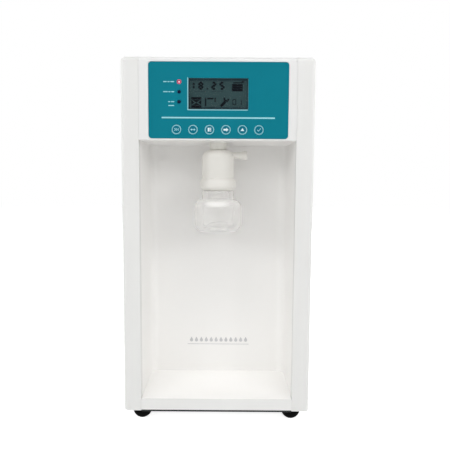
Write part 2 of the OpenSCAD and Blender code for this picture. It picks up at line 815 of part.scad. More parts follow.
module collet(x) placed() color("gray") difference() {
  end = cabinet_d + port_reach;
  union() {
    rod_y(end - 10, end - 1, x, port_z, collet_r);
    rod_y(end - 2, end, x, port_z, collet_r + 1.5);
  }
  rod_y(end - 11, end + 1, x, port_z, tube_r + 0.125);
}

module collet_feed() collet(feed_x);
module collet_tank() collet(cart_x);
module collet_drain() collet(drain_x);

module feed_valve() placed() color("ivory") {
  half = valve_w / 2;
  block([feed_x - half, feed_x + half], [valve_y - half, valve_y + half], [valve_z, valve_z + valve_w]);
  block([rack_t, feed_x - half], [valve_y - half, plate_rear], [valve_z + 5, valve_z + 19]);
  rod_y(valve_y + half, valve_y + half + 22, feed_x, valve_z + half, 11);
  along([feed_x, valve_y, valve_z], [0, 0, -1]) socket();
  along([feed_x, valve_y, valve_z + valve_w], [0, 0, 1]) socket();
}

module cartridge(i) {
  y = cart_y + i * cart_pitch;
  rod_z(cart_z + 6, cart_top - 6, cart_x, y, cart_r);
  rod_z(cart_z, cart_z + 6, cart_x, y, cart_r - 3);
  rod_z(cart_top - 6, cart_top, cart_x, y, cart_r - 3);
  rod_z(cart_top, cart_top + head_h, cart_x, y, cart_r - 5);
  for (rib = [0:7]) rotate_about(cart_x, y, rib * 45)
    block([cart_x + cart_r - 8, cart_x + cart_r - 3.5], [y - 2, y + 2], [cart_top + 2, cart_top + head_h - 4]);
  for (side = [-1, 1])
    translate([cart_x, y + side * cart_port, cart_top + head_h]) socket();
}

module rotate_about(x, y, a) {
  translate([x, y, 0]) rotate([0, 0, a]) translate([-x, -y, 0]) children();
}

module sediment_cartridge() placed() color("white") cartridge(0);
module carbon_cartridge() placed() color("lightsteelblue") cartridge(1);
module polishing_cartridge() placed() color("whitesmoke") cartridge(2);

// Back plate, shelf and two cradles that are open towards the door
module cartridge_rack() placed() color("silver") difference() {
  front = cart_y - cart_r - 1;
  rear = cart_y + 2 * cart_pitch + cart_r + 1;
  union() {
    block([0, rack_t], [front, rear], [cart_z - 3, cart_z + 260]);
    block([0, cart_x + cart_r], [front, rear], [cart_z - 3, cart_z]);
    for (z = [cart_z + 110, cart_z + 257]) block([0, cart_x - 4], [front, rear], [z, z + 3]);
  }
  for (i = [0:2]) rod_z(cart_z, cart_z + 300, cart_x, cart_y + i * cart_pitch, cart_r + seat);
}

module membrane_housing() placed() color("white") {
  rod_y(ro_front + 5, ro_rear - 5, cart_x, ro_z, ro_r);
  for (y = [ro_front, ro_rear - ro_cap]) rod_y(y, y + ro_cap, cart_x, ro_z, ro_cap_r);
  for (y = [ro_front + 9, rise_y]) rod_x(cart_x - ro_cap_r - 2, cart_x, y, ro_z, socket_r);
  rod_z(ro_z - ro_cap_r - 2, ro_z, cart_x, rise_y, socket_r);
  for (y = [ro_front + 9, rise_y]) along([cart_x - ro_cap_r - 2, y, ro_z], [-1, 0, 0]) socket();
  along([cart_x, rise_y, ro_z - ro_cap_r - 2], [0, 0, -1]) socket();
}

module uv_chamber() placed() color("silver") {
  rod_z(uv_low + 8, uv_top - 8, uv_x, uv_y, uv_r - 2);
  for (z = [uv_low, uv_top - 12]) rod_z(z, z + 12, uv_x, uv_y, uv_r);
  rod_z(uv_top, uv_top + 3, uv_x, uv_y, 12);
  for (z = [uv_low + 24, uv_top - 24]) {
    rod_y(uv_y, uv_y + uv_r, uv_x, z, socket_r);
    along([uv_x, uv_y + uv_r, z], [0, 1, 0]) socket();
  }
}

// Saddles that carry the membrane housing and the lamp chamber on the bulkhead
module module_clips() placed() color("dimgray") {
  for (y = [ro_front + 60, ro_rear - 70]) difference() {
    block([0, cart_x], [y, y + 6], [ro_z - ro_r - 3, ro_z + ro_r + 3]);
    rod_y(y - 1, y + 7, cart_x, ro_z, ro_r + seat);
  }
  for (z = [uv_low + 50, uv_top - 60]) difference() {
    block([uv_x, -plate_t], [uv_y - uv_r, uv_y + uv_r], [z, z + 6]);
    rod_z(z - 1, z + 7, uv_x, uv_y, uv_r - 2 + seat);
  }
}

module booster_pump() placed() color("dimgray") {
  rod_y(pump_rear - 125, pump_rear - 40, pump_x, pump_z, 33);
  rod_y(pump_rear - 129, pump_rear - 125, pump_x, pump_z, 12);
  block([pump_x - 37, pump_x + 37], [pump_rear - 40, pump_rear - 30], [pump_z - 37, pump_z + 37]);
  rod_y(pump_rear - 30, pump_rear, pump_x, pump_z, 36);
  block([pump_x - 18, pump_x + 18], [pump_rear - 115, pump_rear - 50], [11, 30]);
  block([pump_x - 35, pump_x + 35], [pump_rear - 120, pump_rear - 20], [8, 11]);
  for (x = pump_port) along([x, pump_rear, pump_port_z], [0, 1, 0]) socket();
}

module pump_mounts() placed() color("black") {
  for (x = [pump_x - 26, pump_x + 26], y = [pump_rear - 110, pump_rear - 32]) {
    rod_z(0, 3, x, y, 8);
    rod_z(3, 5, x, y, 6);
    rod_z(5, 8, x, y, 8);
  }
}

// Three arms that meet; each takes a tube's end
module tank_tee() placed() color("white") difference() {
  deep = insert + 1;
  union() {
    rod_z(tee_z - tee_arm, tee_z + tee_arm, cart_x, rise_y, socket_r);
    rod_y(rise_y - tee_arm, rise_y, cart_x, tee_z, socket_r);
  }
  rod_z(tee_z - tee_arm - 1, tee_z - tee_arm + deep, cart_x, rise_y, socket_bore);
  rod_z(tee_z + tee_arm - deep, tee_z + tee_arm + 1, cart_x, rise_y, socket_bore);
  rod_y(rise_y - tee_arm - 1, rise_y - tee_arm + deep, cart_x, tee_z, socket_bore);
  rod_z(tee_z - tee_arm, tee_z + tee_arm, cart_x, rise_y, 1.5);
  rod_y(rise_y - tee_arm, rise_y, cart_x, tee_z, 1.5);
}

module resistivity_cell() placed() color("darkgray") {
  low = header_z + liner_t;
  half = cell_len / 2;
  difference() {
    block([uv_x - 12, uv_x + 12], [cell_y - half, cell_y + half], [low, low + 25]);
    rod_y(cell_y - half - 1, cell_y - half + insert, uv_x, cell_z, socket_bore);
    rod_y(cell_y + half - insert, cell_y + half + 1, uv_x, cell_z, socket_bore);
    rod_y(cell_y - half, cell_y + half, uv_x, cell_z, 1.5);
  }
  rod_z(low + 25, low + 50, uv_x, cell_y, 8);
  rod_z(low + 50, low + 58, uv_x, cell_y, 4);
}

// Each tube starts and ends inside a socket
module internal_tubing() placed() color("azure") {
  cart_end = tube_z - insert;
  sediment_in = cart_y - cart_port;
  sediment_out = cart_y + cart_port;
  carbon_in = cart_y + cart_pitch - cart_port;
  carbon_out = cart_y + cart_pitch + cart_port;
  polish_out = cart_y + 2 * cart_pitch - cart_port;
  polish_in = cart_y + 2 * cart_pitch + cart_port;
  port_end = barrel_in + insert;
  high = tube_z + 24;
  // feed port to valve, valve to sediment cartridge
  tube([[feed_x, port_end, port_z], [feed_x, valve_y, port_z],
    [feed_x, valve_y, valve_z - socket_h + insert]]);
  tube([[feed_x, valve_y, valve_z + valve_w + socket_h - insert], [feed_x, valve_y, high + 10],
    [feed_x, sediment_in, high + 10], [cart_x, sediment_in, high + 10], [cart_x, sediment_in, cart_end]]);
  // sediment to carbon cartridge
  tube([[cart_x, sediment_out, cart_end], [cart_x, sediment_out, high], [cart_x, carbon_in, high],
    [cart_x, carbon_in, cart_end]]);
  // carbon cartridge to pump, pump to membrane
  tube([[cart_x, carbon_out, cart_end], [cart_x, carbon_out, high], [8, carbon_out, high],
    [8, cross_y, high], [pump_port[0], cross_y, high], [pump_port[0], cross_y, pump_port_z],
    [pump_port[0], pump_rear + socket_h - insert, pump_port_z]]);
  tube([[pump_port[1], pump_rear + socket_h - insert, pump_port_z],
    [pump_port[1], pump_rear + 30, pump_port_z], [pump_port[1], pump_rear + 30, ro_z],
    [pump_port[1], ro_front + 9, ro_z], [cart_x - ro_cap_r - 2 - socket_h + insert, ro_front + 9, ro_z]]);
  // membrane reject to drain port
  tube([[cart_x - ro_cap_r - 2 - socket_h + insert, rise_y, ro_z], [drain_x, rise_y, ro_z],
    [drain_x, rise_y, port_z], [drain_x, port_end, port_z]], 8);
  // membrane permeate to tee, tee to tank port, tee to polishing cartridge
  tee_end = tee_arm - insert;
  permeate = ro_z - ro_cap_r - 2 - socket_h + insert;
  along([cart_x, rise_y, tee_z + tee_end], [0, 0, 1])
    linear_extrude(permeate - tee_z - tee_end) ring(tube_r, tube_r - tube_wall);
  tube([[cart_x, rise_y, tee_z - tee_end], [cart_x, rise_y, port_z], [cart_x, port_end, port_z]], 8);
  tube([[cart_x, rise_y - tee_end, tee_z], [cart_x, polish_in, tee_z], [cart_x, polish_in, cart_end]], 8);
  // polishing cartridge to lamp chamber
  tube([[cart_x, polish_out, cart_end], [cart_x, polish_out, tube_z + insert],
    [uv_x, polish_out, tube_z + insert], [uv_x, polish_out, uv_low + 24],
    [uv_x, uv_y + uv_r + socket_h - insert, uv_low + 24]], 9);
  // lamp chamber to cell, cell to dispensing valve
  tube([[uv_x, uv_y + uv_r + socket_h - insert, uv_top - 24], [uv_x, uv_y + 55, uv_top - 24],
    [uv_x, uv_y + 55, cell_z], [uv_x, cell_y + cell_len / 2 - insert + 1, cell_z]]);
  tube([[uv_x, cell_y - cell_len / 2 + insert - 1, cell_z], [uv_x, capsule_y, cell_z],
    [uv_x, capsule_y, dispense_z + 10], [-dispense_w / 2 - socket_h + insert, capsule_y, dispense_z + 10]], 5);
}

// ---------------------------------------------------------------- electric side

module main_board() placed() color("darkgreen") {
  face = main_back + board_t;
  back = main_back;
  difference() {
    block([back, face], [main_y, main_y + main_w], [main_z, main_z + main_h]);
    for (y = [main_y + 6, main_y + main_w - 6], z = [main_z + 6, main_z + main_h - 6])
      rod_x(back - 1, face + 1, y, z, 1.6);
  }
  block([back - 16, back], [main_y + 14, main_y + 38], [main_z + main_h - 14, main_z + main_h - 4]);
  for (y = [main_y + 14:20:main_y + 74]) block([back - 15, back], [y, y + 14], [main_z + 14, main_z + 32]);
  for (i = [0:2]) rod_x(back - 20, back, main_y + 30 + i * 24, main_z + 60, 8);
  block([back - 3, back], [main_y + 40, main_y + 64], [main_z + 88, main_z + 112]);
  block([back - 12, back], [main_y + 76, main_y + 94], [main_z + 90, main_z + 126]);
}

module board_spacers() placed() color("gold") {
  for (y = [main_y + 6, main_y + main_w - 6], z = [main_z + 6, main_z + main_h - 6]) {
    rod_x(-plate_t - spacer_h, -plate_t, y, z, 3);
    rod_x(-plate_t - spacer_h - board_t - 2, -plate_t - spacer_h, y, z, 1.5);
    rod_x(-plate_t - spacer_h - board_t - 4, -plate_t - spacer_h - board_t, y, z, 2.8);
  }
}

module power_supply() placed() color("silver") {
  difference() {
    block([psu_x, psu_x + psu[0]], [psu_y, psu_y + psu[1]], [0, psu[2]]);
    for (y = [psu_y + 20:9:psu_y + 92]) block([psu_x + 12, psu_x + 60], [y, y + 4], [psu[2] - 2, psu[2] + 1]);
  }
  block([psu_x + 66, psu_x + 92], [psu_y + 30, psu_y + psu[1] - 12], [psu[2], psu[2] + 8]);
}

module mains_inlet() placed() color("black") {
  mouth = cabinet_d + 3;
  difference() {
    union() {
      plate_y(cabinet_d, mouth, inlet_x, inlet_z, 50, 24, 4);
      plate_y(cabinet_d - 22, cabinet_d + 1, inlet_x, inlet_z, 27, 20, 2);
    }
    plate_y(mouth - 18, mouth + 1, inlet_x, inlet_z, 24, 16.5, 3);
    for (side = [-1, 1]) rod_y(cabinet_d - 1, mouth + 1, inlet_x + side * 20, inlet_z, 1.7);
  }
  for (pin = [[-7, -2], [0, 2], [7, -2]])
    block([inlet_x + pin[0] - 1, inlet_x + pin[0] + 1], [mouth - 19, mouth - 5],
      [inlet_z + pin[1] - 2, inlet_z + pin[1] + 2]);
  for (pin = [-7, 0, 7])
    block([inlet_x + pin - 3, inlet_x + pin + 3], [cabinet_d - 32, cabinet_d - 22], [inlet_z - 0.4, inlet_z + 0.4]);
}

module switch_housing() placed() color("black") {
  difference() {
    union() {
      plate_y(cabinet_d, cabinet_d + 2, switch_x, switch_z, 21, 25, 1.5);
      plate_y(cabinet_d - 16, cabinet_d + 1, switch_x, switch_z, 17, 20.8, 1);
    }
    block([switch_x - rocker_w / 2 - 0.3, switch_x + rocker_w / 2 + 0.3], [cabinet_d - 13, cabinet_d + 3],
      [switch_z - 9.2, switch_z + 9.2]);
    rod_x(switch_x - 7.9, switch_x + 7.9, rocker_y, switch_z, 1.2 + run_fit);
  }
  for (z = [-5, 5]) block([switch_x - 3, switch_x + 3], [cabinet_d - 25, cabinet_d - 16],
    [switch_z + z - 0.4, switch_z + z + 0.4]);
}

// The rocker turns on two short pins; its face is a shallow V
module switch_rocker() placed() color("darkred") translate([switch_x, rocker_y, switch_z]) {
  rotate([rocker_tilt, 0, 0]) {
    difference() {
      rod_x(-rocker_w / 2, rocker_w / 2, 0, 0, rocker_r);
      block([-rocker_w, rocker_w], [-2 * rocker_r, -3], [-rocker_r - 1, rocker_r + 1]);
      translate([-rocker_w, 0, 0]) rotate([90, 0, 90]) linear_extrude(2 * rocker_w)
        polygon([[4.2, 0], [5.6, rocker_r + 1], [12, rocker_r + 1], [12, -rocker_r - 1], [5.6, -rocker_r - 1]]);
    }
    rod_x(-7.6, 7.6, 0, 0, 1.2);
  }
}

module power_wiring() placed() color("black") {
  supply = [inlet_x, psu_y + psu[1] - 20, psu[2] + 8];
  rear = supply[1];
  // inlet and switch to supply
  wire([[inlet_x, cabinet_d - 32, inlet_z], [inlet_x, rear, inlet_z], supply]);
  wire([[switch_x, cabinet_d - 25, switch_z + 5], [switch_x, rear, switch_z + 5],
    [switch_x + 8, rear, switch_z + 5], [switch_x + 8, rear, inlet_z]], 1.5, 2.5);
  // supply to main board
  terminal_x = main_back - 8;
  terminal_y = main_y + 81;
  wire([[supply[0], psu_y + 40, supply[2]], [supply[0], psu_y + 40, supply[2] + 30],
    [terminal_x, psu_y + 40, supply[2] + 30], [terminal_x, psu_y + 40, main_z - 20],
    [terminal_x, terminal_y, main_z - 20], [terminal_x, terminal_y, main_z + 14]], 2, 4);
}

// ---------------------------------------------------------------- what is drawn

base_pan();
frame_posts();
side_panel_left();
service_door();
hinge_leaf_frame();
hinge_leaf_door();
hinge_pin();
door_catch();
top_cover();
rear_panel();
case_screws();
foot_screws();
feet();
bulkhead();
header_housing();
alcove_liner();
control_overlay();
display_window();
display_module();
status_lamp_lit();
status_lamps_dark();
key_circulate();
key_shift();
key_menu();
key_dispense();
key_up();
key_confirm();
key_switches();
display_board();
ribbon_cable();
main_board();
board_spacers();
power_supply();
mains_inlet();
switch_housing();
switch_rocker();
power_wiring();
water_ports();
collet_feed();
collet_tank();
collet_drain();
feed_valve();
sediment_cartridge();
carbon_cartridge();
polishing_cartridge();
cartridge_rack();
booster_pump();
pump_mounts();
membrane_housing();
uv_chamber();
module_clips();
tank_tee();
resistivity_cell();
dispense_valve();
outlet_fitting();
internal_tubing();
capsule_body();
capsule_element();
capsule_bell();
vent_cap();
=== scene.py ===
"""Looks, light and camera for the bench-top water purifier.

Lengths in the helper calls are millimetres in the cabinet's own frame, as in the construction
source: x = 0 is its middle, y = 0 the front face and z = 0 the sill's lower edge. An outline is
a list of (x, z) points in that frame."""

import json
import math

import bmesh
import bpy
from mathutils import Matrix, Vector


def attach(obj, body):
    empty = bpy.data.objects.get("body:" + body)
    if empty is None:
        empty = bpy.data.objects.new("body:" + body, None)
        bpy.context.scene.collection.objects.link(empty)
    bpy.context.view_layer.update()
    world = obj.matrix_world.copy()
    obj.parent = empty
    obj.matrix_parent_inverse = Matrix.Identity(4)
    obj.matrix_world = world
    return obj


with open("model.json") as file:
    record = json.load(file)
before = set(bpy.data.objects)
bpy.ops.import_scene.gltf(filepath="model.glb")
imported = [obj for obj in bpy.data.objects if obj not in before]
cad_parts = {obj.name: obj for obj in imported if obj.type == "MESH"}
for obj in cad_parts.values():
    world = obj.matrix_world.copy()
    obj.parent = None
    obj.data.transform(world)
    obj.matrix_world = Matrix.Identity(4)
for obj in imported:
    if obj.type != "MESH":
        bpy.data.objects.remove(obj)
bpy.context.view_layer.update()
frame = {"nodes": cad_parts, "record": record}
nodes = frame["nodes"]

# ------------------------------------------------- sizes shared with the construction source
DEPTH, HEIGHT = 430.0, 528.0  # the cabinet without its feet and rear ports
PORT_REACH, FOOT = 20.0, 18.0
FRONT_Y = -(DEPTH + PORT_REACH) / 2
HALF_W = 141.5
HEADER_Z = HEIGHT - 119.0  # the header's lower edge
WINDOW = (0.7, HEADER_Z + 66.2, 86.7, 44.3)  # centre x and z, width and height
KEY_PITCH, KEY_Z = 24.0, HEADER_Z + 15.0
LAMP_X = -56.0
LAMP_Z = [HEADER_Z + 54.6 + i * 14.2 for i in range(3)]  # from the lowest lamp up
BAY_DEPTH = 113.0
CAPSULE_Y, BELL_LOW = 55.0, HEADER_Z - 138.3
CART_X, CART_Y, CART_R = 68.0, (165.0, 255.0, 345.0), 38.0

# front and back of each kind of print: it stands a little proud of the face that carries it,
# which is at 0.4 on the overlay film, 0.2 on a key, 2.0 on the display and BAY_DEPTH in the bay
FILM_PRINT = (0.33, 0.41)
KEY_PRINT = (0.13, 0.21)
DISPLAY_PRINT = (1.9, 2.01)
BAY_PRINT = (BAY_DEPTH - 0.09, BAY_DEPTH + 0.01)


def at(x, y, z):
    """A point of the cabinet's frame in metres, in the row frame."""
    return Vector((x, y + FRONT_Y, z + FOOT)) / 1000


# ------------------------------------------------- materials
NOISE_RANGE = (0.3, 0.7)  # where most values of a noise texture lie
ZONE_EDGE = 0.0002  # metres over which a painted zone fades out
MIX_SOCKETS = {"RGBA": (6, 7, 2), "FLOAT": (2, 3, 0)}  # a mix node's two inputs and its output
materials = {}


def srgb(r, g, b):
    """Linear colour of an 8-bit display colour."""
    out = []
    for v in (r, g, b):
        v /= 255
        out.append(v / 12.92 if v <= 0.04045 else ((v + 0.055) / 1.055) ** 2.4)
    return tuple(out)


class Graph:
    """Builds the nodes of a material or of the world, from an empty tree."""

    def __init__(self, owner):
        owner.use_nodes = True
        self.tree = owner.node_tree
        self.tree.nodes.clear()

    def new(self, kind, **settings):
        node = self.tree.nodes.new(kind)
        for key, value in settings.items():
            setattr(node, key, value)
        return node

    def put(self, value, socket):
        """Sets a socket to a number or a colour, or links it to an output."""
        if isinstance(value, tuple):
            socket.default_value = (*value, 1)
        elif isinstance(value, (int, float)):
            socket.default_value = value
        else:
            self.tree.links.new(value, socket)

    def math(self, op, *values):
        node = self.new("ShaderNodeMath", operation=op)
        for value, socket in zip(values, node.inputs):
            self.put(value, socket)
        return node.outputs[0]

    def backdrop_rays(self, glossy):
        """1 for camera and transmission rays, the given share for glossy rays, and 0 for others."""
        path = self.new("ShaderNodeLightPath").outputs
        direct = self.math("MAXIMUM", path["Is Camera Ray"], path["Is Transmission Ray"])
        return self.math("MAXIMUM", direct, self.math("MULTIPLY", path["Is Glossy Ray"], glossy))


class Maker(Graph):
    """Builds one node material around a Principled shader."""

    def __init__(self, name):
        self.mat = materials[name] = bpy.data.materials.new(name)
        super().__init__(self.mat)
        self.bsdf = self.new("ShaderNodeBsdfPrincipled")
        self.put(self.bsdf.outputs[0], self.new("ShaderNodeOutputMaterial").inputs["Surface"])
        self.coord = self.new("ShaderNodeTexCoord").outputs
        self.axes = None

    def shade(self, **values):
        """Sets or links the shader's inputs, with an underscore for each space in a name."""
        for key, value in values.items():
            self.put(value, self.bsdf.inputs[key.replace("_", " ")])

    def noise(self, scale, detail, rough=0.55, stretch=(1, 1, 1)):
        mapping = self.new("ShaderNodeMapping")
        mapping.inputs["Scale"].default_value = stretch
        self.put(self.coord["Object"], mapping.inputs["Vector"])
        node = self.new("ShaderNodeTexNoise")
        node.inputs["Scale"].default_value = scale
        node.inputs["Detail"].default_value = detail
        node.inputs["Roughness"].default_value = rough
        self.put(mapping.outputs[0], node.inputs["Vector"])
        return node.outputs["Fac"]

    def remap(self, value, low, high, source=NOISE_RANGE):
        """Maps the source range to low..high, and stays inside it."""
        node = self.new("ShaderNodeMapRange")
        node.inputs["From Min"].default_value, node.inputs["From Max"].default_value = source
        node.inputs["To Min"].default_value = low
        node.inputs["To Max"].default_value = high
        self.put(value, node.inputs["Value"])
        return node.outputs["Result"]

    def mix(self, kind, fac, a, b):
        first, second, result = MIX_SOCKETS[kind]
        node = self.new("ShaderNodeMix", data_type=kind)
        for value, i in ((fac, 0), (a, first), (b, second)):
            self.put(value, node.inputs[i])
        return node.outputs[result]

    def bump(self, height, strength, distance):
        node = self.new("ShaderNodeBump")
        node.inputs["Strength"].default_value = strength
        node.inputs["Distance"].default_value = distance
        self.put(height, node.inputs["Height"])
        self.shade(Normal=node.outputs[0])

    def inside(self, ranges):
        """1 inside the ranges {"x": (low, high), ...}, in the cabinet's millimetres, else 0."""
        if self.axes is None:
            node = self.new("ShaderNodeSeparateXYZ")
            self.put(self.coord["Object"], node.inputs[0])
            self.axes = node.outputs
        fac = None
        for key, (low, high) in ranges.items():
            i = "xyz".index(key)
            centre = ((low + high) / 2 + (0.0, FRONT_Y, FOOT)[i]) / 1000
            half = (high - low) / 2000
            away = self.math("ABSOLUTE", self.math("SUBTRACT", self.axes[i], centre))
            step = self.remap(away, 1.0, 0.0, (half - ZONE_EDGE, half))
            fac = step if fac is None else self.math("MULTIPLY", fac, step)
        return fac


def zone(colour, rough, metal=0.0, **ranges):
    """The part of a node inside the ranges x, y and z, which is made of something else."""
    return ranges, colour, rough, metal


def surface(name, colour, rough, metal=0.0, spec=0.5, mottle=(14, 0.02), grain=(900, 0.06),
            rough_var=0.05, zones=(), stretch=(1, 1, 1), emit=None, dust=0.0, sheen=0.0):
    """A procedural surface: a base colour with slow variation, and grain in bump and roughness.

    mottle is (scale, share of the colour), grain (scale, bump strength), and stretch the grain's
    scale along x, y and z. emit is (colour, strength), and dust its share at its thickest."""
    m = Maker(name)
    slow = m.remap(m.noise(mottle[0], 4, 0.6), 0, 1)
    dark = tuple(c * (1 - mottle[1]) for c in colour)
    light = tuple(min(1.0, c * (1 + mottle[1])) for c in colour)
    base = m.mix("RGBA", slow, dark, light)
    fine = m.noise(grain[0], 3, 0.6, stretch)
    rough_out = m.remap(fine, max(0.02, rough - rough_var), min(1.0, rough + rough_var))
    metal_out = metal
    for ranges, zone_colour, zone_rough, zone_metal in zones:
        fac = m.inside(ranges)
        tint = m.mix("RGBA", slow, tuple(c * 0.96 for c in zone_colour), zone_colour)
        base = m.mix("RGBA", fac, base, tint)
        rough_out = m.mix("FLOAT", fac, rough_out, zone_rough)
        if zone_metal != metal or not isinstance(metal_out, float):
            metal_out = m.mix("FLOAT", fac, metal_out, zone_metal)
    if dust:
        settled = m.remap(m.noise(60, 6, 0.7), 0, dust, (0.45, 0.75))
        base = m.mix("RGBA", settled, base, tuple(c * 0.8 + 0.1 for c in colour))
    m.shade(Base_Color=base, Roughness=rough_out, Metallic=metal_out, Specular_IOR_Level=spec,
            Sheen_Weight=sheen)
    m.bump(fine, grain[1], 0.0004)
    if emit:
        m.shade(Emission_Color=emit[0], Emission_Strength=emit[1])


def clear_wall(name, colour, haze, rough, ior=1.45, uneven=0.02, painted_highlight=None):
    """A thin clear wall: nearly see-through face on, hazier where it is seen along its wall.

    haze is (face on, edge on). The last argument, (direction, start, end, amount), is a painted
    highlight: the wall grows opaque and pale where it faces that way."""
    m = Maker(name)
    weight = m.new("ShaderNodeLayerWeight")
    weight.inputs["Blend"].default_value = 0.35
    ripple = m.remap(m.noise(90, 4, 0.6), -uneven, uneven)
    cover = m.math("ADD", m.remap(weight.outputs["Facing"], *haze, (0.0, 1.0)), ripple)
    # painted highlight: pale, opaque cover where the wall faces a fixed light direction
    if painted_highlight:
        direction, start, end, amount = painted_highlight
        dot = m.new("ShaderNodeVectorMath", operation="DOT_PRODUCT")
        dot.inputs[1].default_value = Vector(direction).normalized()
        m.put(m.coord["Normal"], dot.inputs[0])
        highlight_cover = m.remap(dot.outputs["Value"], 0.0, amount, (start, end))
        cover = m.math("MAXIMUM", cover, highlight_cover)
    darker = tuple(c * 0.97 for c in colour)
    m.shade(Alpha=cover, Base_Color=m.mix("RGBA", m.remap(m.noise(30, 3), 0, 1), darker, colour),
            Roughness=m.remap(m.noise(500, 2), max(0.01, rough - 0.03), rough + 0.03), IOR=ior)
    m.bump(m.noise(120, 2), 0.03, 0.0005)


STEEL = (0.62, 0.63, 0.64)
PCB = (0.03, 0.16, 0.07)
CHIP = (0.02, 0.02, 0.022)
TEAL = srgb(13, 121, 138)
CYAN = srgb(156, 216, 224)
VALVE_COIL = srgb(40, 42, 46)
CART_CAP = srgb(52, 92, 150)
CAP_Z = (340, 363)

# the back of the main board is at x = -10, and its parts stand out towards -x
BOARD_PARTS = (-40, -10.05)
# the display's glass, and where its darker upper and lower bands begin: painted shade from the
# window's recess
GLASS_Y = (1.5, 3.2)
GLASS_HIGH = (WINDOW[1] + 18.0, WINDOW[1] + 30)
GLASS_LOW = (WINDOW[1] - 30, WINDOW[1] - 19.0)
LAMP_CORE = 1.3

surface("panel_paint", srgb(229, 229, 227), 0.42, mottle=(6, 0.012), grain=(1500, 0.1),
        rough_var=0.06)
surface("pan_paint", srgb(36, 37, 38), 0.55, spec=0.3, grain=(1500, 0.12), dust=0.03)
surface("zinc_steel", STEEL, 0.34, metal=1.0, mottle=(40, 0.1), grain=(260, 0.05), rough_var=0.1,
        stretch=(1, 1, 14))
surface("header_plastic", srgb(230, 230, 229), 0.38, mottle=(6, 0.01), grain=(1800, 0.07))
surface("liner_plastic", srgb(250, 249, 247), 0.36, mottle=(5, 0.008), grain=(1800, 0.06), zones=[
    zone(srgb(236, 236, 234), 0.4, y=(-2, 0.6), z=(-1, 30))])
surface("overlay_film", TEAL, 0.55, spec=0.05, mottle=(9, 0.04), grain=(2200, 0.12))
surface("key_film", srgb(10, 108, 130), 0.5, spec=0.05, mottle=(30, 0.05), grain=(2200, 0.12))
surface("display_frame", (0.5, 0.51, 0.52), 0.35, metal=0.9, spec=0.05, mottle=(30, 0.05),
        grain=(400, 0.05), zones=[
            zone(srgb(52, 74, 76), 0.6, y=GLASS_Y),
            # painted shade: darker bands along the glass's upper and lower edges, where the
            # window's recess shades it
            zone(srgb(42, 62, 68), 0.6, y=GLASS_Y, z=GLASS_HIGH),
            zone(srgb(48, 66, 72), 0.6, y=GLASS_Y, z=GLASS_LOW)])
surface("lamp_red", srgb(196, 56, 96), 0.2, mottle=(300, 0.08), grain=(800, 0.03),
        emit=(srgb(255, 120, 150), 0.16), zones=[
            zone(srgb(255, 196, 206), 0.2, x=(LAMP_X - LAMP_CORE, LAMP_X + LAMP_CORE),
                 z=(LAMP_Z[2] - LAMP_CORE, LAMP_Z[2] + LAMP_CORE))])
surface("lamp_dark", srgb(4, 12, 52), 0.3, spec=0.12, mottle=(300, 0.08), grain=(800, 0.03))
surface("black_plastic", srgb(34, 34, 36), 0.5, mottle=(60, 0.1), grain=(1300, 0.2), dust=0.06)
surface("black_rubber", srgb(7, 7, 7), 0.8, spec=0.04, mottle=(80, 0.15), grain=(1800, 0.3),
        dust=0.006)
surface("circuit_board", PCB, 0.3, mottle=(420, 0.35), grain=(700, 0.1), zones=[
    zone(CHIP, 0.45, x=BOARD_PARTS, y=(200, 330), z=(300, 500)),
    zone(srgb(40, 120, 70), 0.5, x=BOARD_PARTS, y=(225, 310), z=(340, 365)),
    zone(srgb(40, 60, 110), 0.35, x=BOARD_PARTS, y=(225, 305), z=(380, 400)),
    zone(srgb(225, 222, 210), 0.5, x=BOARD_PARTS, y=(288, 310), z=(415, 460)),
    zone(CHIP, 0.5, x=(-95, 95), y=(13.65, 60))])
surface("grey_cable", srgb(178, 180, 184), 0.5, mottle=(30, 0.05), grain=(700, 0.3),
        stretch=(1, 0.02, 0.02))
surface("black_cable", srgb(30, 30, 32), 0.55, mottle=(100, 0.2), grain=(900, 0.15))
surface("brass_spacer", (0.70, 0.49, 0.19), 0.28, metal=1.0, mottle=(200, 0.12),
        grain=(1500, 0.06))
surface("rocker_plastic", srgb(150, 22, 24), 0.28, mottle=(80, 0.06), grain=(1200, 0.06))
# the outlet fitting under the header is lighter than the rear ports: painted light where the header
# shades it
surface("port_plastic", srgb(226, 226, 220), 0.35, mottle=(40, 0.03), grain=(1300, 0.08), zones=[
    zone(srgb(248, 247, 240), 0.35, x=(-30, 30), y=(20, 90))])
surface("collet_plastic", srgb(116, 120, 126), 0.42, mottle=(80, 0.06), grain=(1300, 0.12))
surface("valve_plastic", srgb(222, 220, 206), 0.42, mottle=(60, 0.04), grain=(1100, 0.12), zones=[
    zone(VALVE_COIL, 0.4, x=(10, 40), y=(400.2, 430), z=(225, 260)),
    zone(VALVE_COIL, 0.4, x=(-20, 20), y=(30, 85), z=(464.2, 500)),
    zone(srgb(120, 124, 130), 0.25, metal=1.0, x=(-50, -20), y=(80, 120), z=(436.6, 480))])
surface("cartridge_white", srgb(232, 234, 233), 0.3, mottle=(12, 0.02), grain=(900, 0.05), zones=[
    zone(CART_CAP, 0.35, z=CAP_Z, x=(30, 110), y=(120, 300)),
    zone(srgb(28, 128, 142), 0.35, z=CAP_Z, x=(30, 110), y=(300, 390))])
surface("cartridge_blue", srgb(120, 160, 196), 0.3, mottle=(12, 0.03), grain=(900, 0.05), zones=[
    zone(CART_CAP, 0.35, z=CAP_Z)])
surface("pump_black", srgb(44, 45, 48), 0.42, mottle=(50, 0.1), grain=(500, 0.25), zones=[
    zone((0.45, 0.46, 0.47), 0.3, metal=1.0, y=(129, 214.5), z=(12, 90))])
surface("stainless", (0.66, 0.66, 0.65), 0.22, metal=1.0, mottle=(50, 0.05), grain=(240, 0.04),
        rough_var=0.08, stretch=(14, 14, 0.6))
surface("tube_plastic", srgb(214, 224, 232), 0.32, mottle=(60, 0.05), grain=(800, 0.05))
